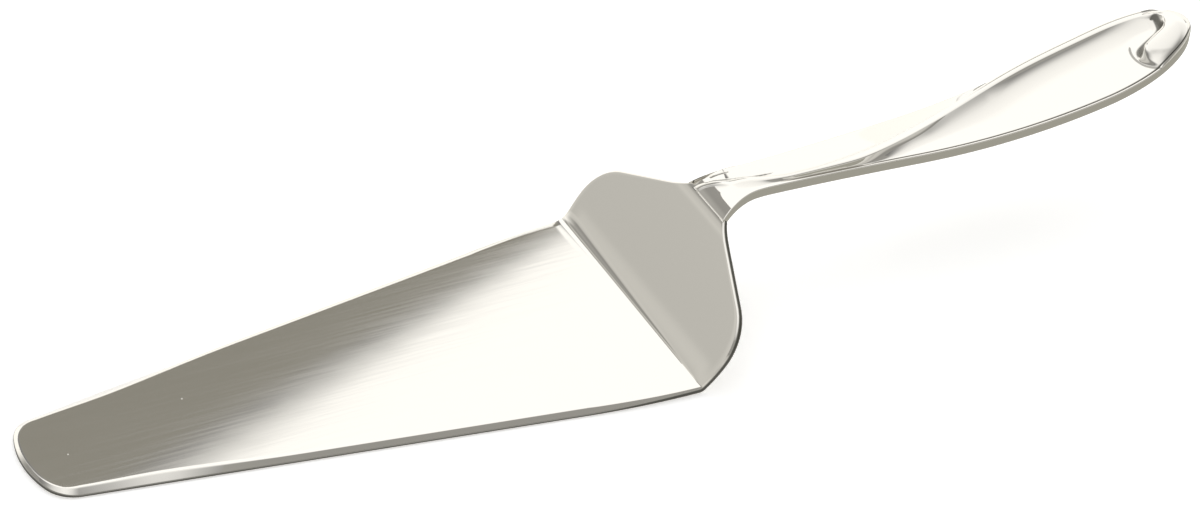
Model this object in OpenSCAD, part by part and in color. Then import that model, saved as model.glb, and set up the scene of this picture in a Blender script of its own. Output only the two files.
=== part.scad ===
// Cake server: a bent steel blade stamping, a forged handle with a folded ridge
// and a curled end, and the weld that joins them under the neck.
// +X runs from the tip to the handle, +Y to the far side, +Z up.
// The origin is on the underside of the blade, midway between tip and crease.

/* [Blade] */
// Length of the flat blade, from the tip to the crease
blade_length = 133; // [115:1:145]
// Width of the flat top of the blade at the crease
blade_width = 60.5; // [54:0.5:68]
// Width of the flat top of the blade just before the tip
tip_width = 18.5; // [14:0.5:24]
// Thickness of the steel sheet
sheet_thickness = 1.3; // [1.2:0.1:1.8]
// Radius of the two rounded corners of the tip
tip_corner_radius = 6; // [4:0.5:7]
// How far the end of the tip bows out beyond its corners
tip_bow = 1.9; // [0.8:0.1:2.4]
// Width of the bevel down each long side, beside the crease
bevel_width = 1.4; // [1:0.1:2]
// Width of the bevel down each long side, beside the tip
tip_bevel_width = 2.3; // [1.6:0.1:3]
// How far each bevel drops below the flat top
bevel_drop = 0.7; // [0.4:0.05:0.9]

/* [Hood] */
// Level distance from the crease to the neck line
hood_run = 15.25; // [13:0.25:18]
// Rise from the crease to the neck line
hood_rise = 21.35; // [18:0.25:25]
// Radius inside the bend at the crease
crease_radius = 2.5; // [1.5:0.25:4]
// How far the shoulders of the hood stand out beyond the crease, each side
shoulder_bulge = 0.7; // [0.2:0.1:1.6]
// Radius of each rounded shoulder
shoulder_radius = 11.4; // [9:0.2:12]
// Outer radius of the bend at the neck
neck_bend_radius = 10; // [6:0.5:11]

/* [Handle] */
// Length of the handle from the neck line to its curled end
handle_length = 114.5; // [100:0.5:125]
// Width of the handle where it meets the hood
neck_width = 14.4; // [12:0.2:16]
// Width of the handle at its waist
waist_width = 9; // [8:0.5:11]
// Widest width of the handle, in the palm
palm_width = 19.5; // [17:0.5:23]
// Height of the side wall of the handle
wall_height = 2.2; // [1.9:0.1:2.8]
// How far the underside bellies below the side walls
belly_drop = 0.3; // [0.2:0.1:0.9]
// Rise of the rim from the neck line to the waist
waist_lift = 3.45; // [3:0.05:4.2]
// Rise of the curled end above the waist
end_lift = 12.6; // [8:0.2:16]

/* [Fold and curl] */
// Width of the polished band that runs along the fold
fold_width = 1.7; // [1.2:0.1:2.2]
// Height of the fold above the rim, in the palm
fold_height = 1.8; // [1.2:0.1:2.4]
// Height of the fold above the rim, at the neck
fold_start_height = 0.4; // [0.2:0.1:0.8]
// Depth of the dished leaf below the rim
dish_depth = 0.8; // [0.4:0.1:1]
// Width of the rim beside the dished leaf
rim_width = 0.5; // [0.3:0.1:0.8]
// Step from the fold down to the shallow leaf
leaf_step = 0.35; // [0.2:0.05:0.5]
// Height of the curl above the rim
curl_height = 2.4; // [1.6:0.1:3]
// Length of the curl along the handle
curl_length = 12.5; // [11:0.5:15]

/* [Neck joint] */
// Length of the tab that the handle laps over
tab_length = 14; // [12:0.5:16]
// Width of the tab at its end
tab_end_width = 6; // [4.5:0.5:6.5]
// Metal of the handle above the tab, measured at the rim
tab_cover = 1.2; // [1:0.1:1.4]
// Width of the handle cheek beside the tab at the neck
cheek_width = 1.3; // [1:0.1:1.8]
// Width of the weld across the end of the tab
weld_width = 1.6; // [1.2:0.1:2]
// How far the weld crowns below the tab
weld_crown = 0.25; // [0.1:0.05:0.4]
// Thin space between the tab and the handle where the sheet curves
seam_gap = 0.04; // [0.02:0.01:0.08]

/* [Shares] */
// Share of the blade's length over which its sides flare into the hood
flare_share = 0.18; // [0.12:0.01:0.24]
// Angle of each side where it meets the crease
flare_angle = 1; // [0:0.5:4]
// Share of the hood's slope at which the shoulders are widest
shoulder_share = 0.25; // [0.2:0.01:0.32]
// Radius of the hollow between each shoulder and the neck
neck_fillet = 25; // [20:1:28]
// Angle between the hood's edge and its slope at the neck line
neck_angle = 50; // [46:1:54]
// Share of the handle's length at which it is narrowest
waist_share = 0.103; // [0.09:0.005:0.13]
// Share of the handle's length at which it is widest
palm_share = 0.8; // [0.76:0.01:0.83]
// Share of the handle's length over which it rises from the neck
lift_share = 0.085; // [0.07:0.005:0.1]
// Share of the handle's length at which its upward sweep begins
sweep_share = 0.41; // [0.35:0.01:0.5]
// Share of the palm's width that the fold lies towards the near side
fold_near_share = 0.22; // [0.18:0.01:0.24]
// Share of the palm's width that the fold reaches towards the far side
fold_far_share = 0.43; // [0.4:0.01:0.45]
// Share of the palm's width between the centre line and the fold at the neck
fold_neck_share = 0.03; // [0:0.01:0.05]
// Share of the handle's length over which the fold runs to the near side
fold_dip_share = 0.2; // [0.16:0.01:0.22]
// Share of the handle's length at which the fold starts to cross over
fold_start_share = 0.216; // [0.2:0.01:0.24]
// Share of the handle's length at which the fold has crossed over
fold_end_share = 0.775; // [0.72:0.01:0.8]
// Share of the handle's length at which the fold has its full height
fold_rise_share = 0.6; // [0.5:0.01:0.7]
// Share of the palm's width that the curl sits towards the near side
curl_shift_share = 0.04; // [0:0.01:0.06]

/* [Smoothness] */
// Steps in each arc of an outline
arc_steps = 16; // [8:1:24]
// Steps across the dished leaf
dish_steps = 9; // [6:1:12]
// Steps across the shallow leaf
leaf_steps = 5; // [4:1:8]
// Sections over the neck bend
neck_steps = 8; // [6:1:12]
// Sections over the tab
tab_steps = 7; // [5:1:10]
// Sections along the palm
palm_steps = 30; // [20:1:40]
// Sections over the curl
curl_steps = 20; // [14:1:26]

/* [Hidden] */
$fn = 96;

// Places and angles that follow from the driving sizes
side_taper = atan2((blade_width - tip_width) / 2, blade_length);
hood_slope = atan2(hood_rise, hood_run);
hood_length = norm([hood_run, hood_rise]);
neck_z = sheet_thickness + hood_rise;
waist_z = neck_z + waist_lift;
tab_z = waist_z - tab_cover;
tab_end = hood_run + tab_length;
pocket_end = tab_end + weld_width;
handle_end = hood_run + handle_length;
// The last section is cut off short of the point where the outline closes
end_turn = 84;

// The crease bend ends this far down the blade and up the hood
crease_setback = crease_radius * tan(hood_slope / 2);
// The neck bend begins on the hood and ends level, at the tab
bend_z = tab_z - neck_bend_radius * (1 - cos(hood_slope));
bend_x = (bend_z - sheet_thickness) / tan(hood_slope);
bend_end = bend_x + neck_bend_radius * sin(hood_slope);
bend_s = bend_x / cos(hood_slope);

// Plain functions
function clamp01(v) = max(0, min(1, v));
function blend(a, b, t) = a + (b - a) * t;
function ease(a, b, v) = let (t = clamp01((v - a) / (b - a))) t * t * (3 - 2 * t);
function soft_max(a, b, k) = let (h = clamp01((1 + (a - b) / k) / 2)) blend(b, a, h) + k * h * (1 - h);
function arc(centre, r, from, to, steps) =
    [for (i = [0 : steps]) let (a = blend(from, to, i / steps)) centre + r * [cos(a), sin(a)]];
function mirrored(points) =
    concat(points, [for (i = [len(points) - 1 : -1 : 0]) [points[i].x, -points[i].y]]);

// Outer edge of the blade: straight side, flare into the hood, rounded tip
edge_y = blade_width / 2 + bevel_width;
edge_taper = atan2(edge_y - tip_width / 2 - tip_bevel_width, blade_length);
flare_length = blade_length * flare_share;
flare_radius = flare_length / (sin(edge_taper) - sin(flare_angle));
flare_y = edge_y - flare_length * tan(edge_taper);
crease_y = flare_y + flare_radius * (cos(flare_angle) - cos(edge_taper));
tip_radius = (pow(tip_width / 2, 2) + pow(tip_bow, 2)) / (2 * tip_bow);
tip_centre = [tip_radius - blade_length, 0];
corner_radius = tip_corner_radius + tip_bevel_width / 2;
corner_base = [0, edge_y - corner_radius / cos(edge_taper)];
side_dir = [cos(edge_taper), sin(edge_taper)];
function corner_centre() =
    let (f = corner_base - tip_centre, b = f * side_dir, c = f * f - pow(tip_radius - corner_radius, 2))
    corner_base - (b + sqrt(max(0, b * b - c))) * side_dir;
function blade_outline() =
    let (c = corner_centre(), turn = atan2(c.y - tip_centre.y, c.x - tip_centre.x))
    mirrored(concat(
        [[crease_setback / 2, crease_y]],
        arc([flare_radius * sin(flare_angle), crease_y - flare_radius * cos(flare_angle)],
            flare_radius, 90 + flare_angle, 90 + edge_taper, arc_steps),
        arc(c, corner_radius, 90 + edge_taper, turn, arc_steps),
        arc(tip_centre, tip_radius, turn, 180, arc_steps)));

// Outline of the hood in its own sloping plane, x up the slope
shoulder_y = crease_y + shoulder_bulge;
shoulder_s = hood_length * shoulder_share;
shoulder_centre = [shoulder_s, shoulder_y - shoulder_radius];
flank_centre = [hood_length, neck_width / 2] + neck_fillet * [sin(neck_angle), cos(neck_angle)];
function flank_angle() =
    let (gap = flank_centre - shoulder_centre)
    atan2(gap.x, gap.y) - acos(min(1, (shoulder_radius + neck_fillet) / norm(gap)));
function hood_half(s) = flank_centre.y - sqrt(max(0, pow(neck_fillet, 2) - pow(flank_centre.x - s, 2)));
function hood_outline() =
    let (
        reach = shoulder_s,
        r = (reach * reach + shoulder_bulge * shoulder_bulge) / (2 * shoulder_bulge),
        last = asin((flank_centre.x - bend_s) / neck_fillet))
    mirrored(concat(
        arc([shoulder_s, shoulder_y - r], r, 90 + asin(reach / r), 90, arc_steps),
        arc(shoulder_centre, shoulder_radius, 90, 90 - flank_angle(), arc_steps),
        arc(flank_centre, neck_fillet, 270 - flank_angle(), 270 - last, arc_steps)));

// Plan of the neck: the last of the hood, then the tab under the handle
function tab_half(x) = blend(neck_width / 2 - cheek_width, tab_end_width / 2,
    clamp01((x - hood_run) / tab_length));
function neck_outline() = mirrored(concat(
    [for (i = [0 : arc_steps])
        let (x = blend(bend_x - sheet_thickness, hood_run, i / arc_steps))
        [x, hood_half(x / cos(hood_slope))]],
    [[hood_run, tab_half(hood_run)], [tab_end, tab_half(tab_end)]]));

// The sheet seen from the side, drawn as a line along its top and back along its underside
function sheet_line(offset) =
    let (
        inner = crease_radius + offset,
        outer = neck_bend_radius - offset)
    concat(
        [[-2 * blade_length, sheet_thickness - offset]],
        arc([-crease_setback, sheet_thickness + crease_radius], inner, -90, hood_slope - 90, arc_steps),
        arc([bend_end, tab_z - neck_bend_radius], outer, 90 + hood_slope, 90, arc_steps),
        [[tab_end, tab_z - offset]]);

module bent_sheet() {
    line = sheet_line(sheet_thickness);
    rotate([90, 0, 0])
        linear_extrude(3 * blade_width, center = true)
            polygon(concat(sheet_line(0), [for (i = [len(line) - 1 : -1 : 0]) line[i]]));
}

module plate_cutter() {
    translate([0, 0, -sheet_thickness])
        linear_extrude(3 * sheet_thickness)
            polygon(blade_outline());
}

module hood_cutter() {
    translate([0, 0, sheet_thickness])
        rotate([0, -hood_slope, 0])
            translate([0, 0, -2 * sheet_thickness])
                linear_extrude(4 * sheet_thickness)
                    polygon(hood_outline());
}

module neck_cutter() {
    translate([0, 0, bend_z - 2 * sheet_thickness])
        linear_extrude(waist_z)
            polygon(neck_outline());
}

// Cutter for one bevel, lying along the edge of the flat top
module bevel_cutter() {
    translate([0, blade_width / 2, sheet_thickness])
        rotate([0, 0, side_taper])
            translate([-1.2 * blade_length, 0, 0])
                rotate([90, 0, 90])
                    linear_extrude(1.2 * blade_length - crease_setback)
                        polygon([
                            [0, 0], 3 * [tip_bevel_width, -bevel_drop],
                            [3 * tip_bevel_width, tip_bevel_width], [0, tip_bevel_width]]);
}

module blade() {
    color("#c9c6bd")
        translate([blade_length / 2, 0, 0])
            difference() {
                intersection() {
                    bent_sheet();
                    union() {
                        plate_cutter();
                        hood_cutter();
                        neck_cutter();
                    }
                }
                bevel_cutter();
                mirror([0, 1, 0])
                    bevel_cutter();
            }
}

// Handle, told by the share of its length that lies behind a place
function along(x) = (x - hood_run) / handle_length;
function half_width(x) =
    let (
        f = along(x),
        s = clamp01((f - waist_share) / (palm_share - waist_share)),
        q = clamp01((waist_share - f) / waist_share),
        e = clamp01((f - palm_share) / (1 - palm_share)),
        w = waist_width + (palm_width - waist_width) * blend(s, ease(0, 1, s), 0.45)
            + (neck_width - waist_width) * pow(q, 2.2))
    w / 2 * sqrt(max(0, 1 - pow(e, 2.3)));
function rim_z(x) =
    let (
        f = along(x),
        q = clamp01((lift_share - f) / lift_share),
        s = clamp01((f - sweep_share) / (1 - sweep_share)))
    waist_z - waist_lift * pow(q, 2.2) + end_lift * s * s;
// The fold and the rim narrow with the handle as its end closes
function shrink(x) = min(1, half_width(x) / (palm_width / 4));
// Sideways place and height of the fold that crosses the handle
function fold_y(x) =
    let (
        f = along(x),
        low = -palm_width * fold_near_share,
        high = palm_width * fold_far_share,
        y = blend(low, high, ease(fold_start_share, fold_end_share, f))
            + (fold_neck_share * palm_width - low) * (1 - ease(0, fold_dip_share, f)),
        w = half_width(x),
        k = shrink(x))
    max(min(y, w - k * (fold_width / 2 + leaf_step)), k * (fold_width / 2 + 2 * rim_width) - w);
function fold_z(x) =
    shrink(x) * blend(fold_start_height, fold_height, ease(waist_share, fold_rise_share, along(x)));
function dish_z(x) = -dish_depth * ease(0, 2 * waist_share, along(x));
// Height of the curl over the rim, a dome that ends in a rounded edge
function curl_z(x, y) =
    let (
        u = (x - (handle_end - curl_length / 2)) / (curl_length / 2),
        v = (y + curl_shift_share * palm_width) / (palm_width / 2),
        room = 1 - u * u - v * v)
    room > 0 ? (curl_height + dish_depth) * sqrt(room) - dish_depth : -curl_height;
function top_z(x, y, low) =
    rim_z(x) + (along(x) < palm_share ? low : soft_max(low, curl_z(x, y), dish_depth / 2));

// Points over the top of one cross section, from the near rim to the far rim
function top_points(x) =
    let (
        w = half_width(x),
        y0 = fold_y(x),
        h = fold_z(x),
        d = dish_z(x),
        b = shrink(x) * fold_width / 2,
        near = y0 - b + w,
        far = max(0, w - y0 - b),
        rim = min(rim_width, near / 4),
        near_list = [for (i = [0 : dish_steps])
            let (t = i / dish_steps)
            [-w + 2 * rim + (near - 2 * rim) * t, d + (h - d) * pow(t, 4)]],
        far_list = [for (i = [1 : leaf_steps])
            let (t = i / leaf_steps)
            [y0 + b + far * (0.1 + 0.9 * t), (h - leaf_step) * pow(1 - t, 1.2)]],
        raw = concat([[-w, 0], [-w + rim, 0]], near_list, [[y0, h + b / 6], [y0 + b, h]], far_list))
    [for (p = raw) [x, p[0], top_z(x, p[0], p[1])]];

// Points under the cross section, from the far wall to the near wall
function under_z(x, y) =
    let (w = half_width(x)) rim_z(x) - wall_height - belly_drop * (1 - pow(y / max(w, seam_gap), 2));
function pocket_z(x) =
    x < bend_end
        ? tab_z - neck_bend_radius + sqrt(pow(neck_bend_radius, 2) - pow(bend_end - x, 2)) + seam_gap
        : tab_z;
function under_points(x, pocket) =
    let (
        w = half_width(x),
        t = pocket ? min(tab_half(x) + seam_gap, 0.8 * w) : 0.7 * w,
        b = under_z(x, t),
        low = pocket ? min(b, pocket_z(x) - seam_gap) : b,
        c = pocket ? t : 0.35 * w,
        k = pocket ? pocket_z(x) : under_z(x, c))
    [[x, w, rim_z(x) - wall_height], [x, t, low], [x, c, k], [x, 0, pocket ? k : under_z(x, 0)],
        [x, -c, k], [x, -t, low], [x, -w, rim_z(x) - wall_height]];

function stations() = concat(
    [for (i = [0 : neck_steps]) [blend(hood_run, bend_end, i / neck_steps), true]],
    [for (i = [1 : tab_steps]) [blend(bend_end, pocket_end, i / tab_steps), true]],
    [for (i = [0 : palm_steps])
        [blend(pocket_end + seam_gap, handle_end - 1.2 * curl_length, i / palm_steps), false]],
    [for (i = [1 : curl_steps])
        [handle_end - 1.2 * curl_length * (1 - sin(end_turn * i / curl_steps)), false]]);
function handle_rings() = [for (s = stations()) concat(top_points(s[0]), under_points(s[0], s[1]))];

module handle() {
    rings = handle_rings();
    n = len(rings[0]);
    m = len(rings);
    walls = [for (i = [0 : m - 2], j = [0 : n - 1])
        let (a = i * n + j, b = i * n + (j + 1) % n)
        each [[a, b, a + n], [b, b + n, a + n]]];
    front = [[for (j = [n - 1 : -1 : 0]) j]];
    back = [[for (j = [0 : n - 1]) (m - 1) * n + j]];
    color("#e4e2dc")
        translate([blade_length / 2, 0, 0])
            polyhedron(points = [for (r = rings) each r], faces = concat(walls, front, back), convexity = 6);
}

module neck_weld() {
    half = tab_half(tab_end);
    r = weld_width;
    color("#b4b2aa")
        translate([blade_length / 2 + tab_end, 0, tab_z])
            intersection() {
                translate([0, -half, -sheet_thickness - weld_crown])
                    cube([weld_width, 2 * half, sheet_thickness + weld_crown]);
                translate([weld_width / 2, 0, r - sheet_thickness - weld_crown])
                    rotate([90, 0, 0])
                        cylinder(r = r, h = 2 * half, center = true);
            }
}

blade();
handle();
neck_weld();
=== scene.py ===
import bpy, bmesh, math
from mathutils import Matrix, Vector


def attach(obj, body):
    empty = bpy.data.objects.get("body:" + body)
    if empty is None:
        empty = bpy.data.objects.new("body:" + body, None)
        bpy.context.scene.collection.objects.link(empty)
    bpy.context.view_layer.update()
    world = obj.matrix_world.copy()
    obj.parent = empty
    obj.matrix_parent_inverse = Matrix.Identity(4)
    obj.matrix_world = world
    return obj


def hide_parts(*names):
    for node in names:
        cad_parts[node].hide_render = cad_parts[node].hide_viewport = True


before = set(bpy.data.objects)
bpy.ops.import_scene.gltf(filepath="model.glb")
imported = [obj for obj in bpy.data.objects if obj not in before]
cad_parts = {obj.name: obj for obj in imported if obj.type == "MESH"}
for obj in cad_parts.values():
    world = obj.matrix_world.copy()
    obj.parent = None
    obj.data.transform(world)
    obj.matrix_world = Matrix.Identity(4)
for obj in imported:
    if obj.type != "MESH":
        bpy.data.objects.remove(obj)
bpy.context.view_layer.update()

# camera at the photograph's angle: long lens, turned a little about its own axis
cameraSet = {
    "place": (-0.33342, -0.63551, 0.58338),
    "right": (0.87991, -0.46782, 0.08307),
    "up": (0.22682, 0.56721, 0.79173),
    "back": (-0.4175, -0.6778, 0.6052),
    "lens": 139.94,
}


def makeCamera(s):
    data = bpy.data.cameras.new("photoView")
    data.sensor_width = 36
    data.sensor_fit = "HORIZONTAL"
    data.lens = s["lens"]
    data.clip_start, data.clip_end = 0.05, 20
    cam = bpy.data.objects.new("photoView", data)
    turn = Matrix((s["right"], s["up"], s["back"])).transposed().to_4x4()
    cam.matrix_world = Matrix.Translation(s["place"]) @ turn
    bpy.context.collection.objects.link(cam)
    bpy.context.scene.camera = cam


def clamp(v, low=0.0, high=1.0):
    return max(low, min(high, v))


def blend(a, b, t):
    return a + (b - a) * t


def ease(a, b, v):
    t = clamp((v - a) / (b - a))
    return t * t * (3 - 2 * t)


def spread(a, b, n):
    return [blend(a, b, i / n) for i in range(n + 1)]


def softMax(a, b, soft):
    # the larger of two, rounded where they cross
    return (a + b + math.sqrt((a - b) ** 2 + soft)) / 2


def turned(a):
    # one step in the direction of an angle
    return Vector((math.cos(a), math.sin(a)))


def finishPiece(bm, name, sharp=38):
    mesh = bpy.data.meshes.new(name)
    for f in bm.faces:
        f.smooth = True
    bm.to_mesh(mesh)
    bm.free()
    mesh.set_sharp_from_angle(angle=math.radians(sharp))
    piece = bpy.data.objects.new(name, mesh)
    bpy.context.collection.objects.link(piece)
    print("made", name, len(mesh.polygons), "faces")
    return piece


# blade: one steel sheet, drawn flat in millimetres from the crease (s < 0 towards the tip), then bent
bladeSet = {
    "length": 133.0, "halfWidth": 30.5, "tipHalf": 9.25, "sheet": 1.3, "crease": 66.5,
    "cornerRadius": 7.15, "tipBow": 1.9, "tipBevel": 2.25, "columns": 40, "cornerRows": 8, "cornerEnd": -104,
    # width of the bevel: down the sides, before the corners of the tip, round them, and across the end
    "sideMargin": 1.05, "cornerMargin": 2.1, "roundMargin": 1.35, "roundExtra": 0.3, "endMargin": 0.75,
    "widen": (-82, -112), "roundFrom": -110,
    # how far it drops, and where it runs out into the edge of the hood
    "bevelDrop": 1.0, "roundDrop": 0.7, "endDrop": 0.45, "edgeRound": 0.35, "edgeDrop": 0.25, "runOut": (-30, 2),
    "flare": 24.0, "flareAngle": 1.0, "nearBend": 0.5, "farBend": 5.5,
    "foot": 0.14, "footRun": (0.2, 5.5), "footHalf": 29.08,
    "hoodRun": 15.25, "hoodRise": 21.35, "neckBend": 10.0, "neckAngle": 50, "neckHalf": 7.2, "hollowRadius": 25.0,
    "shoulderBulge": 0.7, "shoulderAt": 6.56, "shoulderRadius": 11.4,
    "tabFrom": 26.62, "tabTop": 24.9, "tabLength": 14.0, "tabHalf": 5.9, "tabEndHalf": 3.0,
    "tabRound": 0.05, "tabDrop": 0.02,
}


def hoodBend(b):
    # slope of the hood, and where its neck bend starts: level distance, and distance along the sheet
    slope = math.atan2(b["hoodRise"], b["hoodRun"])
    bendX = (b["tabTop"] - b["neckBend"] * (1 - math.cos(slope)) - b["sheet"]) / math.tan(slope)
    return slope, bendX, bendX / math.cos(slope)


def bendOf(s, y, b):
    # place and slope on top of the sheet, s measured along it from the corner of the crease,
    # whose bend opens out from the near side to the far side
    slope, bendX, bendS = hoodBend(b)
    bend = blend(b["nearBend"], b["farBend"], clamp(y / 2 / b["halfWidth"] + 0.5))
    setback = bend * math.tan(slope / 2)
    if s <= -setback:
        return s, b["sheet"], 0.0
    if s < setback:
        a = slope * (s + setback) / (2 * setback)
        return bend * math.sin(a) - setback, b["sheet"] + bend * (1 - math.cos(a)), a
    if s <= bendS:
        return s * math.cos(slope), b["sheet"] + s * math.sin(slope), slope
    a = max(0.0, slope - (s - bendS) / b["neckBend"])
    over = max(0.0, (s - bendS) - slope * b["neckBend"])
    endX = bendX + b["neckBend"] * math.sin(slope)
    return (endX - b["neckBend"] * math.sin(a) + over,
            b["tabTop"] - b["neckBend"] * (1 - math.cos(a)), a)


def tabFar(b):
    # how far along the sheet the tab ends
    slope, bendX, bendS = hoodBend(b)
    endX = bendX + b["neckBend"] * math.sin(slope)
    return bendS + slope * b["neckBend"] + b["hoodRun"] + b["tabLength"] - endX


def onSheet(s, y, depth, b):
    # a point of the flat drawing put on the bent sheet, depth below its top
    x, z, a = bendOf(s, y, b)
    return Vector((x + math.sin(a) * depth + b["crease"], y, z - math.cos(a) * depth)) / 1000


def hoodHalf(s, creaseHalf, b):
    # half width of the hood: out to the shoulder, round it, and hollow into the neck
    shoulder = creaseHalf + b["shoulderBulge"]
    sc = Vector((b["shoulderAt"], shoulder - b["shoulderRadius"]))
    lean = math.radians(b["neckAngle"])
    fc = Vector((math.hypot(b["hoodRun"], b["hoodRise"]), b["neckHalf"])) \
        + b["hollowRadius"] * Vector((math.sin(lean), math.cos(lean)))
    gap = fc - sc
    turn = math.atan2(gap.x, gap.y) - math.acos(min(1, (b["shoulderRadius"] + b["hollowRadius"]) / gap.length))
    if s < b["shoulderAt"]:
        q = (b["shoulderAt"] - max(s, 0)) / b["shoulderAt"]
        return shoulder - b["shoulderBulge"] * q * q
    out = Vector((math.sin(turn), math.cos(turn)))
    leave, arrive = sc + b["shoulderRadius"] * out, fc - b["hollowRadius"] * out
    if s < leave.x:
        return sc.y + math.sqrt(b["shoulderRadius"] ** 2 - (s - sc.x) ** 2)
    if s < arrive.x:
        return blend(leave.y, arrive.y, (s - leave.x) / (arrive.x - leave.x))
    return fc.y - math.sqrt(b["hollowRadius"] ** 2 - (fc.x - s) ** 2)


def bladeEdges(b):
    # the near edge, from the middle of the tip corner to the end of the tab, and the end of the tip:
    # each spot is its place on the outer edge, the outward direction, the bevel's width and its drop
    edge = b["halfWidth"] + b["sideMargin"]
    taper = math.atan2(edge - b["tipHalf"] - b["tipBevel"], b["length"])
    flareTurn = math.radians(b["flareAngle"])
    bow = b["flare"] / (math.sin(taper) - math.sin(flareTurn))
    flareY = edge - b["flare"] * math.tan(taper)
    creaseHalf = flareY + bow * (math.cos(flareTurn) - math.cos(taper))
    # circles of the tip's corner and of its bowed end, and where the one runs into the other
    r = b["cornerRadius"]
    tipR = (b["tipHalf"] ** 2 + b["tipBow"] ** 2) / (2 * b["tipBow"])
    tipC = Vector((tipR - b["length"], 0))
    way = turned(taper)
    f = Vector((0, edge - r / math.cos(taper))) - tipC
    k = f.dot(way)
    c = f + tipC - (k + math.sqrt(k * k - f.dot(f) + (tipR - r) ** 2)) * way
    turn = math.atan2(c.y - tipC.y, c.x - tipC.x)
    up = math.pi / 2 + taper
    mid = (up + turn) / 2
    wideRound = b["roundMargin"] + b["roundExtra"]

    def spot(p, a, wide, drop):
        return (Vector((p.x, -p.y)), Vector((math.cos(a), -math.sin(a))), wide, drop)

    side = []
    for a in spread(mid, up, 10):
        t = (a - up) / (mid - up)
        side.append(spot(c + r * turned(a), a, blend(wideRound, b["roundMargin"], t),
                         blend(b["bevelDrop"], b["roundDrop"], t)))
    start = side[-1][0].x
    tipRows = len(side) - 1 + b["cornerRows"]
    # rows lie closer together where the sheet turns
    for s in spread(start, b["cornerEnd"], b["cornerRows"])[1:] + spread(b["cornerEnd"], -b["flare"], 14)[1:]:
        wide = blend(b["sideMargin"], b["cornerMargin"], ease(*b["widen"], s))
        wide = blend(wide, wideRound, ease(b["roundFrom"], start, s))
        side.append(spot(Vector((s, edge + s * math.tan(taper))), up, wide, b["bevelDrop"]))
    for s in spread(-b["flare"], -3, 14)[1:] + spread(-3, -0.8, 8)[1:] + spread(-0.8, 0, 6)[1:]:
        q = (s + b["flare"]) / b["flare"]
        a = blend(up, math.pi / 2 + flareTurn, q)
        y = flareY + bow * (math.sin(a) - math.cos(taper))
        near = ease(*b["runOut"], s)
        side.append(spot(Vector((s, y)), a, blend(b["sideMargin"], b["edgeRound"], near),
                         blend(b["bevelDrop"], b["edgeDrop"], near)))
    hoodS = spread(0, 0.8, 6)[1:] + spread(0.8, 3, 8)[1:] + spread(3, 23.6, 26)[1:]
    for s in hoodS + [24.2, 24.8, 25.4, 26.0, 26.6]:
        y = hoodHalf(s, creaseHalf, b)
        step = hoodHalf(s + 0.05, creaseHalf, b) - hoodHalf(s - 0.05, creaseHalf, b)
        side.append(spot(Vector((s, y)), math.atan2(0.1, -step), b["edgeRound"], b["edgeDrop"]))
    for s in spread(b["tabFrom"], 36.0, 12) + [tabFar(b)]:
        x = bendOf(s, 0, b)[0]
        half = blend(b["tabHalf"], b["tabEndHalf"], clamp((x - b["hoodRun"]) / b["tabLength"]))
        side.append(spot(Vector((s, half)), math.pi / 2, b["tabRound"], b["tabDrop"]))
    end = []
    cornerLen, bowLen = r * (turn - mid), tipR * (math.pi - turn)
    for i in range(b["columns"] + 1):
        d = (cornerLen + bowLen) * (1 - abs(2 * i / b["columns"] - 1))
        if d < cornerLen:
            a = mid + d / r
            p = c + r * turned(a)
        else:
            a = turn + (d - cornerLen) / tipR
            p = tipC + tipR * turned(a)
        t = ease(0, cornerLen * 1.6, d)
        near, out, wide, drop = spot(p, a, blend(b["roundMargin"], b["endMargin"], t),
                                     blend(b["roundDrop"], b["endDrop"], t))
        flip = -1 if i > b["columns"] / 2 else 1
        end.append((Vector((near.x, near.y * flip)), Vector((out.x, out.y * flip)), wide, drop))
    return side, end, tipRows


def inset(spot):
    return spot[0] - spot[1] * spot[2]


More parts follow.
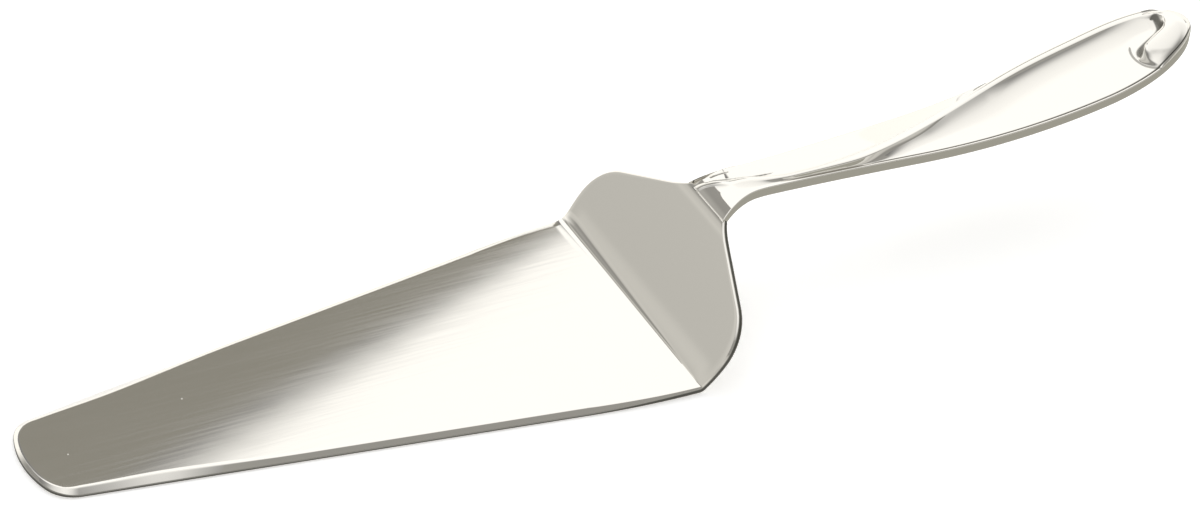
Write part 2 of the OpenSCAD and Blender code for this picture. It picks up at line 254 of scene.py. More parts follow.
def makeBlade(b):
    side, end, tipRows = bladeEdges(b)
    rows, cols = len(side) - 1, b["columns"]
    bm = bmesh.new()
    bmesh.ops.create_grid(bm, x_segments=rows, y_segments=cols, size=1)
    mark = bm.verts.layers.int.new("edgeSpot")
    shade = bm.verts.layers.float.new("paintedShade")
    edgeSpots = [None]
    places = {}
    for v in bm.verts:
        j, i = round((v.co.x + 1) / 2 * rows), round((v.co.y + 1) / 2 * cols)
        near = inset(side[j])
        t = i / cols
        p = Vector((near.x, near.y * (1 - 2 * t)))
        if j < tipRows:
            # the rounded tip is filled in between its end, its corners and the first straight row
            u = j / tipRows
            line, corner = inset(side[tipRows]), inset(side[0])
            level = Vector((line.x, line.y * (1 - 2 * t))) * u
            across = near * (1 - t) + Vector((near.x, -near.y)) * t
            lengthways = inset(end[i]) * (1 - u) + level
            both = (corner * (1 - t) + Vector((corner.x, -corner.y)) * t) * (1 - u) + level
            p = across + lengthways - both
        places[v] = p
        if i == 0 or i == cols:
            flip = 1 if i == 0 else -1
            o, n, wide, drop = side[j]
            spot = (Vector((o.x, o.y * flip)), Vector((n.x, n.y * flip)), wide, drop)
        elif j == 0:
            spot = end[i]
        elif j == rows:
            spot = (p + Vector((b["tabRound"], 0)), Vector((1, 0)), b["tabRound"], b["tabDrop"])
        else:
            continue
        edgeSpots.append(spot)
        v[mark] = len(edgeSpots) - 1
    for v, p in places.items():
        # the steel is a little fuller in the corner at the foot of the hood
        foot = b["foot"] * (1 - ease(*b["footRun"], p.x)) * ease(0, 0.3, p.x)
        v.co = onSheet(p.x, p.y, -foot * ease(0, 1.5, b["footHalf"] - abs(p.y)), b)
    # the same sheet again for the underside
    under = bmesh.ops.duplicate(bm, geom=bm.verts[:] + bm.edges[:] + bm.faces[:])
    twins = under["vert_map"]
    for v, p in places.items():
        twins[v].co = onSheet(p.x, p.y, b["sheet"], b)
    bmesh.ops.reverse_faces(bm, faces=[f for f in under["geom"] if isinstance(f, bmesh.types.BMFace)])
    # the rim of the top is drawn out step by step over the bevel, down the edge and back underneath:
    # share of the bevel's width, of its drop and of the sheet's thickness, and how much painted shade darkens the
    # edge there, where the sheared steel is also duller
    steps = [(0.05, 0.01, 0, 0), (0.12, 0.06, 0, 0), (0.2, 0.15, 0, 0), (0.84, 0.84, 0, 0), (0.9, 0.91, 0, 0.4),
             (0.96, 1, 0.08, 0.8), (1, 1, 0.3, 1), (1, 1, 0.72, 1), (0.95, 1, 0.93, 0.6), (0.86, 1, 1, 0),
             (0, 1, 1, 0)]
    rim = [e for e in bm.edges if e.is_boundary and e.verts[0] in places]
    for out, fall, through, paintedEdgeShade in steps:
        made = bmesh.ops.extrude_edge_only(bm, edges=rim)["geom"]
        for v in [g for g in made if isinstance(g, bmesh.types.BMVert)]:
            o, n, wide, drop = edgeSpots[v[mark]]
            p = o - n * wide * (1 - out)
            v.co = onSheet(p.x, p.y, drop * fall + (b["sheet"] - drop) * through, b)
            v[shade] = paintedEdgeShade
        rim = [g for g in made if isinstance(g, bmesh.types.BMEdge)]
    bmesh.ops.remove_doubles(bm, verts=bm.verts, dist=0.000002)
    bmesh.ops.recalc_face_normals(bm, faces=bm.faces)
    return finishPiece(bm, "bladeSheet")


# handle: one forging, told by cross sections from the neck to the curled end, in millimetres
handleSet = {
    "crease": 66.5, "start": 15.25, "length": 114.5, "neckWidth": 14.4, "waistWidth": 9.0, "palmWidth": 19.5,
    "wall": 2.2, "belly": 0.3, "neckTop": 22.65, "waistLift": 3.45, "endLift": 12.6, "rimRound": 0.14,
    # shares of the length, and how sharply the outline turns at the neck and at the end
    "waistAt": 0.103, "palmAt": 0.8, "liftAt": 0.085, "sweepAt": 0.41, "swell": 0.45,
    "neckTurn": 2.2, "endTurn": 2.3,
    # the fold: its polished band, its sideways places in shares of the palm's width, and where it has them
    "foldWidth": 1.7, "foldTop": 1.8, "foldStart": 0.4, "foldRise": (0.05, 0.5), "foldEnd": (0.95, 0.99),
    "foldNear": -0.22, "foldFar": 0.43, "foldNeck": 0.03, "foldDip": 0.2, "foldCross": (0.216, 0.775),
    "foldHook": 3.6, "hookEnd": 0.055, "slim": 0.55, "slimFrom": (0.08, 0.15), "slimTo": (0.2, 0.3),
    "leafStep": 0.35, "farDrop": 1.0, "farDropEnd": 0.062,
    # the groove inside the near rim, which is also painted dark as shade, and the dished leaf beyond it
    "ledge": 0.42, "grooveEnd": 0.92, "grooveSide": 0.18, "groove": 0.28, "rimStep": 0.12,
    "grooveFrom": (0.27, 0.36),
    # the curl: its dome rises from a line, gently over its tongue and steeply along the fold
    "curlTop": 2.5, "curlStart": 120.5, "curlFrom": 108,
    "curlLine": [(122.0, -12.0), (118.7, -9.1), (117.2, -7.5), (116.2, -5.3), (116.2, -3.6), (117.4, -1.9),
                 (119.0, -1.1), (121.3, -0.4), (123.1, 0.2), (124.1, 1.3), (124.4, 2.9), (123.4, 4.5),
                 (121.0, 6.4), (117.0, 9.0)],
    "lipRise": (-0.3, 0.9), "tongueRise": (-4.5, 0.6), "tongue": 0.12, "curlRise": (-0.55, 0.6),
    "lipFoot": 0.06, "curlFoot": 0.94, "lipRoll": 4.5, "curlRoll": 1.3,
    "lipAt": (-5.5, 0.5), "rollAt": (-6.5, -3),
    # the pocket underneath, round the tab
    "tabTop": 24.9, "neckBend": 10.0, "bendEnd": 22.0, "tabHalf": 5.9, "tabEndHalf": 3.0, "tabLength": 14.0,
    "weldWidth": 1.6, "seamGap": 0.04,
}
# painted shade where the forging's folds close: fine dark lines over shallow valleys; places, half width at both
# ends, depth, strength
seamShadeSet = {
    "curlFold": ([(123.2, 4.0), (124.1, 3.6), (123.8, 1.3), (122.7, 0.3), (121.0, -0.2), (118.8, -0.9),
                  (117.4, -1.7), (116.6, -3.6)], 0.42, 0.64, 0.1, 0.8),
    "curlLip": ([(116.6, 0.9), (115.9, -0.6), (115.6, -2.6), (116.0, -5.3), (117.0, -7.2), (118.4, -8.8)],
                0.2, 0.2, 0.0, 0.6),
    "tipShade": ([(122.6, 6.7), (125.0, 5.5), (127.4, 3.8)], 0.2, 0.16, 0.05, 0.9),
    "farRim": ([(15.3, 5.5), (16.7, 5.3), (19.0, 4.5), (21.9, 3.4)], 0.24, 0.1, 0.06, 0.8),
    "foldTop": ([(17.2, 3.9), (18.1, 3.5), (20.3, 1.7), (22.8, 0.3), (26.4, -0.4), (29.9, -0.7)],
                0.22, 0.14, 0.06, 0.8),
}


def along(x, h):
    return (x - h["start"]) / h["length"]


def handleHalf(x, h):
    f = along(x, h)
    s = clamp((f - h["waistAt"]) / (h["palmAt"] - h["waistAt"]))
    q = clamp((h["waistAt"] - f) / h["waistAt"])
    e = clamp((f - h["palmAt"]) / (1 - h["palmAt"]))
    w = h["waistWidth"] + (h["palmWidth"] - h["waistWidth"]) * blend(s, ease(0, 1, s), h["swell"]) \
        + (h["neckWidth"] - h["waistWidth"]) * q ** h["neckTurn"]
    return w / 2 * math.sqrt(max(0.0, 1 - e ** h["endTurn"]))


def rimHeight(x, h):
    f = along(x, h)
    q = clamp((h["liftAt"] - f) / h["liftAt"])
    s = clamp((f - h["sweepAt"]) / (1 - h["sweepAt"]))
    return h["neckTop"] + h["waistLift"] * (1 - q ** h["neckTurn"]) + h["endLift"] * s * s


def fineness(w, h):
    # details keep their size down to half of the palm's width, and shrink with the handle below that
    return min(1.0, w / (h["palmWidth"] / 4))


def foldPlace(x, h):
    # sideways place, height and half width of the fold's polished band
    f, w = along(x, h), handleHalf(x, h)
    k = fineness(w, h)
    low, high, neck = (h["palmWidth"] * h[key] for key in ("foldNear", "foldFar", "foldNeck"))
    y = blend(low, high, ease(*h["foldCross"], f)) + (neck - low) * (1 - ease(0, h["foldDip"], f))
    y += h["foldHook"] * (1 - ease(0, h["hookEnd"], f))
    half = k * h["foldWidth"] / 2 * (1 - h["slim"] * ease(*h["slimFrom"], f) * (1 - ease(*h["slimTo"], f)))
    # kept clear of the near rim and of the far one
    near, far = half + k - w, w - half - k * h["leafStep"]
    y = softMax(y, near, 0.3 * k * k) if w > 1 else y
    y = max(-softMax(-y, -far, 0.2 * k * k), near)
    crest = blend(h["foldStart"] * ease(0.01, 0.05, f), h["foldTop"], ease(*h["foldRise"], f))
    return y, k * crest * (1 - 0.8 * ease(*h["foldEnd"], f)), half


def lineReach(x, y, line):
    # distance to a line, more than zero on its right side, and the nearest place's share of the way along it
    best, side, place = 1e9, 1, 0
    for i, ((ax, ay), (bx, by)) in enumerate(zip(line, line[1:])):
        dx, dy = bx - ax, by - ay
        t = clamp(((x - ax) * dx + (y - ay) * dy) / (dx * dx + dy * dy))
        px, py = x - ax - dx * t, y - ay - dy * t
        d = px * px + py * py
        if d < best:
            best, side, place = d, (dy * px - dx * py), (i + t) / (len(line) - 1)
    return math.copysign(math.sqrt(best), side), place


def seamAt(x, y, seams):
    # how much painted shade of a seam lies here, and how deep its valley is
    dark, deep = 0.0, 0.0
    for line, start, end, depth, strength in seams:
        if not min(p[0] for p in line) - 1 < x < max(p[0] for p in line) + 1:
            continue
        d, place = lineReach(x, y, line)
        half = blend(start, end, place) * ease(0, 0.12, place) ** 0.5 * (1 - ease(0.88, 1, place)) ** 0.5 + 0.02
        d = abs(d)
        dark = max(dark, strength * (1 - ease(half * 0.7, half * 1.3 + 0.06, d)))
        deep = max(deep, depth * (1 - ease(0, half * 1.5, d)))
    return dark, deep


def smoothLine(points, steps=4):
    # a soft curve through the points
    out = []
    for i in range(len(points) - 1):
        p = [Vector(points[max(0, min(len(points) - 1, i + k))]) for k in (-1, 0, 1, 2)]
        for n in range(steps):
            t = n / steps
            out.append(0.5 * ((2 * p[1]) + (p[2] - p[0]) * t + (2 * p[0] - 5 * p[1] + 4 * p[2] - p[3]) * t * t
                              + (3 * p[1] - p[0] - 3 * p[2] + p[3]) * t ** 3))
    return [tuple(v) for v in out] + [points[-1]]


def curlDome(x, y, h, d):
    # height of the curl's dome over the rim, and how much of it stands d away from its line
    w = handleHalf(x, h)
    m = ease(*h["lipAt"], y)
    steep = h["tongue"] * ease(*h["tongueRise"], d) + (1 - h["tongue"]) * ease(*h["curlRise"], d)
    rise = blend(ease(*h["lipRise"], d), steep, m)
    reach = blend(h["lipRoll"], h["curlRoll"], ease(*h["rollAt"], y))
    roll = blend(blend(h["lipFoot"], h["curlFoot"], m), 1, 1 - (1 - clamp(d / reach)) ** 2)
    v = abs(y / max(w, 0.01))
    u = max(0.0, (x - h["curlStart"]) / (h["start"] + h["length"] - h["curlStart"]))
    # round towards the near side, fuller towards the far one
    across = math.sqrt(max(0.0, 1 - v ** (2 + 2 * ease(0, 4, y))))
    return h["curlTop"] * across * math.sqrt(max(0.0, 1 - u ** 3)) * roll, rise


def topHeight(x, y, h, line, seams):
    # height of the top over the rim, and how much painted shade its seams and its groove have there
    f, w = along(x, h), handleHalf(x, h)
    y0, crest, half = foldPlace(x, h)
    k = fineness(w, h)
    e = (y + w) / k
    inner, outer, side = h["ledge"], h["grooveEnd"], h["grooveSide"]
    cut = ease(inner, inner + side, e) * (1 - ease(outer - side, outer, e)) * ease(*h["grooveFrom"], f)
    if y < y0 - half:
        # the dished leaf lies level and sweeps up to the fold, more sharply where it is wide
        step = -h["rimStep"] * ease(inner, outer, e) * ease(0.2, 0.36, f)
        start = outer * k - w
        wide = y0 - half - start
        power = blend(1.5, 4, ease(1, 6, wide)) * max(1, wide / 12) ** 1.6
        low = step + (crest - step) * clamp((y - start) / wide) ** power - h["groove"] * k * cut
    elif y < y0 + half:
        q = (y - y0) / half
        low = crest + 0.1 * k * (1 - q * q)
    else:
        # the shallow leaf steps down from the fold and falls to the far rim
        t = clamp((y - y0 - half) / max(0.01, w - y0 - half))
        step = h["leafStep"] * k
        low = crest - step * ease(0, 0.1, t) - (crest - step) * (1 - (1 - t) ** 1.2) if t < 1 else 0
        low -= h["farDrop"] * t * (1 - ease(0, h["farDropEnd"], f))
    if x > h["curlFrom"]:
        d = lineReach(x, y, line)[0]
        dome, rise = curlDome(x, y, h, d)
        low = low + max(0.0, dome - low) * rise
        cut *= 1 - ease(0.0, 0.3, d) * ease(1.2, 2.5, e)
    # the seams, and the groove inside the near rim, are painted dark: painted shade
    dark, deep = seamAt(x, y, seams)
    return low - deep, max(dark, cut)


def underside(x, h):
    # the far half of the underside, from the foot of the wall to the middle: a belly, or the pocket for the tab
    w, z = handleHalf(x, h), rimHeight(x, h) - h["wall"]
    foot = w - 0.2 * fineness(w, h)
    if x >= h["start"] + h["tabLength"] + h["weldWidth"]:
        ys = [foot * t for t in (0.94, 0.86, 0.76, 0.64, 0.5, 0.36, 0.2, 0.1)] + [0]
        return [(y, z - h["belly"] * (1 - (y / w) ** 2)) for y in ys]
    half = blend(h["tabHalf"], h["tabEndHalf"], clamp((x - h["start"]) / h["tabLength"])) + h["seamGap"]
    half = min(half, 0.8 * w)
    roof = h["tabTop"] + h["seamGap"] / 2
    if x < h["bendEnd"]:
        drop = math.sqrt(h["neckBend"] ** 2 - (h["bendEnd"] - x) ** 2)
        roof = h["tabTop"] - h["neckBend"] + drop + h["seamGap"]
    low = min(z - h["belly"] * (1 - (half / w) ** 2), roof - h["seamGap"])
    out = [(blend(foot, half, t), blend(z, low, t)) for t in (0.4, 0.8, 1.0)]
    out += [(half, low + (roof - low) * t) for t in (0.08, 0.92, 1.0)]
    return out + [(half * t, roof) for t in (0.97, 0.5, 0)]


def handleSection(x, h, line, seams):
    # one cross section, from the near rim over the top, down the far wall and back underneath
    w, z = handleHalf(x, h), rimHeight(x, h)
    y0, half = foldPlace(x, h)[::2]
    k = fineness(w, h)
    across = [k * q - w for q in (0.03, 0.08, 0.16, 0.3, 0.42, 0.5, 0.6, 0.67, 0.74, 0.83, 0.92)]
    across += spread(across[-1], y0 - half - 0.05 * k, 84)[1:] + [y0 - half]
    across += spread(y0 - half, y0 + half, 8)[1:]
    across += [y0 + half + (w - y0 - half) * t for t in spread(0, 0.94, 28)[1:]]
    across += [w - q * k for q in (0.16, 0.08, 0.03)]
    top = []
    for y in sorted(across):
        height, dark = topHeight(x, y, h, line, seams)
        fall = h["rimRound"] * k * clamp(1 - (w - abs(y)) / (0.16 * k)) ** 2
        top.append((y, z + height - fall, dark))
    foot = z - h["wall"]
    wall = [(w, z - 0.24 * k), (w, foot + 0.3), (w - 0.05 * k, foot + 0.1), (w - 0.2 * k, foot)]
    below = wall + underside(x, h)
    return top + [(y, low, 0) for y, low in below] + [(-y, low, 0) for y, low in reversed(below[:-1])]


def makeHandle(h):
    line = smoothLine(h["curlLine"])
    seams = [(smoothLine(points), *rest) for points, *rest in seamShadeSet.values()]
    pocketEnd = h["start"] + h["tabLength"] + h["weldWidth"]
    end = h["start"] + h["length"]
    # sections lie closest over the neck and the curl, and close up towards the round end
    xs = spread(h["start"], 26, 44) + spread(26, pocketEnd, 10)[1:] + spread(pocketEnd + 0.04, 112, 100)
    xs += spread(112, 126, 120)[1:]
    xs += [126 + (end - 126) * math.sin(math.radians(89 * i / 28)) for i in range(1, 29)]
    sections = [handleSection(x, h, line, seams) for x in xs]
    around = len(sections[0])
    bm = bmesh.new()
    # painted shade of the seams and of the groove inside the near rim
    shade = bm.verts.layers.float.new("paintedShade")
    bmesh.ops.create_grid(bm, x_segments=len(xs) - 1, y_segments=around, size=1)
    for v in bm.verts:
        i = round((v.co.x + 1) / 2 * (len(xs) - 1))
        j = round((v.co.y + 1) / 2 * around) % around
        y, z, v[shade] = sections[i][j]
        v.co = Vector((xs[i] + h["crease"], y, z)) / 1000
    bmesh.ops.remove_doubles(bm, verts=bm.verts, dist=0.000002)
    bmesh.ops.holes_fill(bm, edges=[e for e in bm.edges if e.is_boundary], sides=0)
    bmesh.ops.recalc_face_normals(bm, faces=bm.faces)
    return finishPiece(bm, "forgedHandle", 70)


# neck weld: a low bead across the end of the tab, as deep as the sheet, with a crown below it
weldSet = {"place": (95.75, 24.9), "halfLength": 2.96, "width": 1.6, "sheet": 1.3, "crown": 0.25, "soft": 0.1}


def makeWeld(b):
    bm = bmesh.new()
    bmesh.ops.create_cone(bm, cap_ends=True, segments=40, radius1=1, radius2=1, depth=2)
    bmesh.ops.rotate(bm, verts=bm.verts, matrix=Matrix.Rotation(math.pi / 2, 3, "X"), cent=(0, 0, 0))
    bmesh.ops.bisect_plane(bm, geom=bm.verts[:] + bm.edges[:] + bm.faces[:], plane_co=(0, 0, 0),
                           plane_no=(0, 0, 1), clear_outer=True)
    bmesh.ops.holes_fill(bm, edges=[e for e in bm.edges if e.is_boundary], sides=0)
    x, z = b["place"]
    deep = b["sheet"] + b["crown"]
    for v in bm.verts:
        v.co = Vector((x + b["width"] / 2 * (1 + v.co.x), v.co.y * b["halfLength"], z + v.co.z * deep)) / 1000
    bmesh.ops.bevel(bm, geom=[e for e in bm.edges if e.calc_face_angle(0) > 0.9], offset=b["soft"] / 1000,
                    segments=2, profile=0.5, affect="EDGES", material=-1)
    bmesh.ops.recalc_face_normals(bm, faces=bm.faces)
    return finishPiece(bm, "neckWeldBead")


def toLinear(code):
    parts = [int(code[i:i + 2], 16) / 255 for i in (1, 3, 5)]
    return tuple(c / 12.92 if c <= 0.04045 else ((c + 0.055) / 1.055) ** 2.4 for c in parts) + (1.0,)


def addNode(tree, kind, settings=None, inputs=None):
    node = tree.nodes.new(kind)
    for name, value in (settings or {}).items():
        setattr(node, name, value)
    for name, value in (inputs or {}).items():
        if isinstance(value, bpy.types.NodeSocket):
            tree.links.new(value, node.inputs[name])
        else:
            node.inputs[name].default_value = value
    return node


def newMaterial(name):
    mat = bpy.data.materials.new(name)
    mat.use_nodes = True
    mat.node_tree.nodes.clear()
    return mat, mat.node_tree


# the steel: its colour, the colour of the painted shade in its folds and along the blade's edge, and its marks in
# millimetres
steelSet = {"bright": "#E1DED7", "dark": "#5A5953", "seamRough": 0.6, "grainLong": 24.0, "grainWide": 0.5,
            "pitApart": 8.0, "pitSize": 0.16, "pitDeep": 0.04, "wave": 9.0}
# the finish of each piece: how rough it is, and how deep its polishing lines and its waves are in millimetres
finishSet = {
    # rubbed with fine compound: reflections with soft edges
    "blade": {"name": "satinPolishedStainless", "rough": 0.05, "lineDeep": 0.0001, "waveDeep": 0.003},
    # buffed on a wheel: sharp reflections that swim a little
    "handle": {"name": "mirrorPolishedStainless", "rough": 0.035, "lineDeep": 0.0005, "waveDeep": 0.008},
    # dressed with a fine belt: blurred reflections with lines in them
    "neck_weld": {"name": "groundWeldStainless", "rough": 0.16, "lineDeep": 0.004, "waveDeep": 0.01},
}


def steelSurface(s, finish):
    # 18/10 stainless steel, a bright and faintly warm mirror; the shade attribute turns it dark and dull: painted
    # shade for the dark reflections and shade in the forging's folds and along the sheet's sheared edge
    mat, tree = newMaterial(finish["name"])
    place = addNode(tree, "ShaderNodeTexCoord").outputs["Object"]
    seam = addNode(tree, "ShaderNodeAttribute", {"attribute_name": "paintedShade"}).outputs["Fac"]
    # polishing lines along the piece, 0.1 mm apart on the real one and drawn 0.5 mm wide so that they show
    stretched = addNode(tree, "ShaderNodeMapping", inputs={
        "Vector": place, "Scale": (1000 / s["grainLong"], 1000 / s["grainWide"], 1000 / s["grainWide"])})
    lines = addNode(tree, "ShaderNodeTexNoise", inputs={
        "Vector": stretched.outputs["Vector"], "Scale": 1.0, "Detail": 3.0}).outputs["Fac"]
    rubbed = addNode(tree, "ShaderNodeMapRange", inputs={
        "Value": lines, "From Min": 0.3, "From Max": 0.7,
        "To Min": finish["rough"] * 0.75, "To Max": finish["rough"] * 1.4})
    # a few pits, each a third of a millimetre across
    pits = addNode(tree, "ShaderNodeTexVoronoi", inputs={"Vector": place, "Scale": 1000 / s["pitApart"]})
    pit = addNode(tree, "ShaderNodeMapRange", {"interpolation_type": "SMOOTHSTEP"}, {
        "Value": pits.outputs["Distance"], "From Min": 0.0, "From Max": s["pitSize"] / s["pitApart"]})
    # the wheel leaves the steel very slightly wavy
    waves = addNode(tree, "ShaderNodeTexNoise", inputs={
        "Vector": place, "Scale": 1000 / s["wave"], "Detail": 1.0})
    wavy = addNode(tree, "ShaderNodeBump", inputs={
        "Height": waves.outputs["Fac"], "Strength": 1.0, "Distance": finish["waveDeep"] / 1000})
    scored = addNode(tree, "ShaderNodeBump", inputs={
        "Height": lines, "Strength": 1.0, "Distance": finish["lineDeep"] / 1000,
        "Normal": wavy.outputs["Normal"]})
    pitted = addNode(tree, "ShaderNodeBump", inputs={
        "Height": pit.outputs["Result"], "Strength": 0.5, "Distance": s["pitDeep"] / 1000,
        "Normal": scored.outputs["Normal"]})
    # the dark colour is painted shade, laid on where the shade attribute is high
    tone = addNode(tree, "ShaderNodeMix", {"data_type": "RGBA"}, {
        "Factor": seam, "A": toLinear(s["bright"]), "B": toLinear(s["dark"])})
    roughness = addNode(tree, "ShaderNodeMix", inputs={
        "Factor": seam, "A": rubbed.outputs["Result"], "B": s["seamRough"]})
    shader = addNode(tree, "ShaderNodeBsdfPrincipled", inputs={
        "Base Color": tone.outputs["Result"], "Metallic": 1.0, "Roughness": roughness.outputs["Result"],
        "Normal": pitted.outputs["Normal"]})
    addNode(tree, "ShaderNodeOutputMaterial", inputs={"Surface": shader.outputs["BSDF"]})
    return mat


pieces = {"blade": makeBlade(bladeSet), "handle": makeHandle(handleSet), "neck_weld": makeWeld(weldSet)}
for node, piece in pieces.items():
    piece.data.materials.append(steelSurface(steelSet, finishSet[node]))
    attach(piece, "root")
    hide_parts(node)
print("pieces made")

makeCamera(cameraSet)
print("camera placed")

# floor and studio in metres: a white table, one big softbox overhead with its dark frame, grey walls
# and a grey card before the handle; frame and card glow grey and show only in reflections, as painted dark
# reflections
floorSet = {"corners": [(-3, -3), (3, -3), (3, 3), (-3, 3)], "height": -0.0002, "colour": "#FFFFFF",
            "share": 0.32}
softboxSet = {
    "corners": [(-0.55, -0.45), (0.4, -0.15), (0.5, -0.15), (0.62, -0.42), (0.9, -0.42), (0.9, 0.3), (0.72, 0.3),
                (0.72, 1.15), (0.5, 1.15), (0.5, 0.72), (0.19, 0.612), (0.19, 1.15), (-0.11, 1.15),
                (-0.11, 0.566), (-0.14, 0.566), (-0.14, 0.52), (-0.55, 0.5)],
    "height": 0.6, "strength": 1.4, "low": 0.2,
    # its back edge runs through two places and fades over a depth that shrinks to the right;
    # away from its middle the cloth is even
    "backEdge": [(0.1, 0.58), (0.5, 0.72)], "backFade": (0.03, 0.01), "backFadeAt": (0.25, 0.5),
    "backSoft": 0.002, "backMiddle": 0.3, "backEnds": (0.19, 0.21),
    # its front falls off in steps from a line that bends where its two slants meet
    "front": [(-0.16, 0.2), (-0.08, 0.3), (0.0, 0.5), (0.06, 0.68), (0.13, 0.8), (0.2, 0.85), (0.36, 0.92),
              (0.46, 1.0)],
    "slantFrom": 0.43, "slantLeft": -0.5, "slantRight": 0.9, "left": (-0.55, -0.16),
}
frameSet = {"corners": [(0.2, 0.615), (0.49, 0.7165), (0.49, 0.82), (0.2, 0.718)], "height": 0.599,
            "colour": "#9C9A92"}
cardSet = {"corners": [(0.092, -0.5), (0.55, -0.5), (0.55, 0.12), (0.092, 0.12)], "height": 0.001,
           "colour": "#B2B1A9"}
# brightness of the walls by height, and where the backdrop stands before them
studioSet = {
    "walls": [(0.0, 0.92), (0.05, 0.85), (0.2, 0.645), (0.28, 0.76), (0.4, 0.7), (0.5, 0.36), (0.75, 0.4),
              (1.0, 0.45)],
    "tint": (1, 0.99, 0.955), "backdrop": (1.35, 1.34, 1.31, 1), "backdropTurn": 60,
    "backdropSide": (0.3, 0.55), "backdropTop": (0.64, 0.58),
}


def stagePlane(name, s, mat):
    bm = bmesh.new()
    bm.faces.new([bm.verts.new((x, y, s["height"])) for x, y in s["corners"]])
    mesh = bpy.data.meshes.new(name)
    bm.to_mesh(mesh)
    bm.free()
    mesh.materials.append(mat)
    piece = bpy.data.objects.new(name, mesh)
    bpy.context.collection.objects.link(piece)
    return piece


def paleFloor(s):
    # white paper; a share of plain white for the camera, metal and glass keeps it white and its shadows soft
    mat, tree = newMaterial("paleFloor")
    paper = addNode(tree, "ShaderNodeBsdfPrincipled", inputs={
        "Base Color": toLinear(s["colour"]), "Roughness": 0.9, "Specular IOR Level": 0.0})
    ray = addNode(tree, "ShaderNodeLightPath")
    seen = addNode(tree, "ShaderNodeMath", {"operation": "MAXIMUM"}, {
        0: ray.outputs["Is Camera Ray"], 1: ray.outputs["Is Glossy Ray"]})
    shown = addNode(tree, "ShaderNodeMath", {"operation": "MAXIMUM"}, {
        0: seen.outputs["Value"], 1: ray.outputs["Is Transmission Ray"]})
    level = addNode(tree, "ShaderNodeMath", {"operation": "MULTIPLY"}, {0: shown.outputs["Value"], 1: s["share"]})
    glow = addNode(tree, "ShaderNodeEmission", inputs={"Color": (1, 1, 1, 1), "Strength": level.outputs["Value"]})
    both = addNode(tree, "ShaderNodeAddShader", inputs={0: paper.outputs["BSDF"], 1: glow.outputs["Emission"]})
    addNode(tree, "ShaderNodeOutputMaterial", inputs={"Surface": both.outputs["Shader"]})
    return mat


def fillRamp(ramp, stops):
    while len(ramp.elements) < len(stops):
        ramp.elements.new(0.5)
    for element, (at, colour) in zip(ramp.elements, stops):
        element.position = at
        element.color = colour


def softboxCloth(s):
    # diffuser cloth: even white over the blade, sharp at its back edge, and fading slowly to its front and left
    mat, tree = newMaterial("softboxCloth")
    place = addNode(tree, "ShaderNodeTexCoord").outputs["Object"]
    split = addNode(tree, "ShaderNodeSeparateXYZ", inputs={"Vector": place})
    x, y = split.outputs["X"], split.outputs["Y"]
    start, run = Vector(s["backEdge"][0]), Vector(s["backEdge"][1]) - Vector(s["backEdge"][0])
    inward = Vector((run.y, -run.x, 0)).normalized()
    at = inward.xy.dot(start)
    reach = addNode(tree, "ShaderNodeVectorMath", {"operation": "DOT_PRODUCT"}, {0: place, 1: inward})
    depth = addNode(tree, "ShaderNodeMapRange", inputs={
        "Value": x, "From Min": s["backFadeAt"][0], "From Max": s["backFadeAt"][1],
        "To Min": at + s["backFade"][0], "To Max": at + s["backFade"][1]})
    edge = addNode(tree, "ShaderNodeMapRange", {"interpolation_type": "SMOOTHSTEP"}, {
        "Value": reach.outputs["Value"], "From Min": at - s["backSoft"], "From Max": depth.outputs["Result"],
        "To Min": s["low"]})
    aside = addNode(tree, "ShaderNodeMath", {"operation": "SUBTRACT"}, {0: x, 1: s["backMiddle"]})
    far = addNode(tree, "ShaderNodeMath", {"operation": "ABSOLUTE"}, {0: aside.outputs["Value"]})
    ends = addNode(tree, "ShaderNodeMapRange", inputs={
        "Value": far.outputs["Value"], "From Min": s["backEnds"][0], "From Max": s["backEnds"][1]})
    back = addNode(tree, "ShaderNodeMath", {"operation": "MAXIMUM"}, {
        0: edge.outputs["Result"], 1: ends.outputs["Result"]})
    # how far behind the front line, which slants one way on the left and another on the right
    near = y
    for part, slant in (("MINIMUM", s["slantLeft"]), ("MAXIMUM", s["slantRight"])):
        across = addNode(tree, "ShaderNodeMath", {"operation": part}, {0: x, 1: s["slantFrom"]})
        shift = addNode(tree, "ShaderNodeMath", {"operation": "MULTIPLY_ADD"}, {
            0: across.outputs["Value"], 1: slant, 2: -slant * s["slantFrom"]})
        near = addNode(tree, "ShaderNodeMath", {"operation": "ADD"}, {
            0: near, 1: shift.outputs["Value"]}).outputs["Value"]
    first, last = s["front"][0][0], s["front"][-1][0]
    share = addNode(tree, "ShaderNodeMapRange", inputs={"Value": near, "From Min": first, "From Max": last})
    ramp = addNode(tree, "ShaderNodeValToRGB", inputs={"Fac": share.outputs["Result"]})
    fillRamp(ramp.color_ramp, [((step - first) / (last - first), (v, v, v, 1)) for step, v in s["front"]])
    left = addNode(tree, "ShaderNodeMapRange", {"interpolation_type": "SMOOTHSTEP"}, {
        "Value": x, "From Min": s["left"][0], "From Max": s["left"][1], "To Min": s["low"]})
    level = back.outputs["Value"]
    for fade in (ramp.outputs["Color"], left.outputs["Result"], s["strength"]):
        level = addNode(tree, "ShaderNodeMath", {"operation": "MULTIPLY"}, {0: level, 1: fade}).outputs["Value"]
    glow = addNode(tree, "ShaderNodeEmission", inputs={"Color": (1, 1, 1, 1), "Strength": level})
    addNode(tree, "ShaderNodeOutputMaterial", inputs={"Surface": glow.outputs["Emission"]})
    return mat


def greyCard(s):
    # a grey sheet that glows evenly and is no lamp: a painted dark reflection, for the shaded floor before the
    # handle and for the softbox's dark frame
    mat, tree = newMaterial("greyCard")
    glow = addNode(tree, "ShaderNodeEmission", inputs={"Color": toLinear(s["colour"]), "Strength": 1.0})
    addNode(tree, "ShaderNodeOutputMaterial", inputs={"Surface": glow.outputs["Emission"]})
    return mat


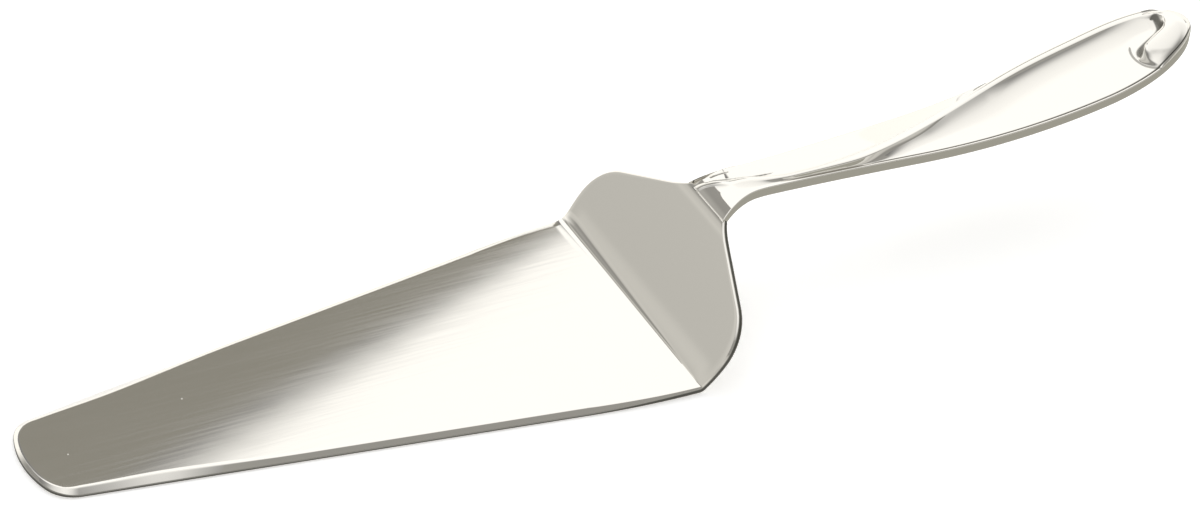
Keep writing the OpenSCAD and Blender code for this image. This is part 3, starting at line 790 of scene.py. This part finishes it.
def softStudio(s):
    # pale towards the horizon, grey walls above, a pale backdrop behind the object
    world = bpy.data.worlds.new("softStudio")
    world.use_nodes = True
    tree = world.node_tree
    tree.nodes.clear()
    place = addNode(tree, "ShaderNodeTexCoord").outputs["Generated"]
    height = addNode(tree, "ShaderNodeSeparateXYZ", inputs={"Vector": place}).outputs["Z"]
    walls = addNode(tree, "ShaderNodeValToRGB", inputs={"Fac": height})
    walls.color_ramp.interpolation = "EASE"
    fillRamp(walls.color_ramp, [(at, tuple(level * c for c in s["tint"]) + (1,)) for at, level in s["walls"]])
    facing = addNode(tree, "ShaderNodeVectorMath", {"operation": "DOT_PRODUCT"}, {
        0: place, 1: turned(math.radians(s["backdropTurn"])).to_3d()})
    wide = addNode(tree, "ShaderNodeMapRange", {"interpolation_type": "SMOOTHSTEP"}, {
        "Value": facing.outputs["Value"], "From Min": s["backdropSide"][0], "From Max": s["backdropSide"][1]})
    low = addNode(tree, "ShaderNodeMapRange", {"interpolation_type": "SMOOTHSTEP"}, {
        "Value": height, "From Min": s["backdropTop"][0], "From Max": s["backdropTop"][1]})
    both = addNode(tree, "ShaderNodeMath", {"operation": "MULTIPLY"}, {
        0: wide.outputs["Result"], 1: low.outputs["Result"]})
    mix = addNode(tree, "ShaderNodeMix", {"data_type": "RGBA"}, {
        "Factor": both.outputs["Value"], "A": walls.outputs["Color"], "B": s["backdrop"]})
    sky = addNode(tree, "ShaderNodeBackground", inputs={"Color": mix.outputs["Result"], "Strength": 1.0})
    addNode(tree, "ShaderNodeOutputWorld", inputs={"Surface": sky.outputs["Background"]})
    bpy.context.scene.world = world


stagePlane("studioFloor", floorSet, paleFloor(floorSet))
softbox = stagePlane("overheadSoftbox", softboxSet, softboxCloth(softboxSet))
card = stagePlane("greyCard", cardSet, greyCard(cardSet))
boxFrame = stagePlane("softboxFrame", frameSet, greyCard(frameSet))
for piece in (softbox, card, boxFrame):
    piece.visible_camera = False
    piece.visible_shadow = False
# the card and the frame are seen only in reflections: painted dark reflections
for piece in (card, boxFrame):
    for kind in ("diffuse", "transmission", "volume_scatter"):
        setattr(piece, "visible_" + kind, False)
softStudio(studioSet)
bpy.context.scene.view_settings.view_transform = "Standard"
print("floor and light placed")
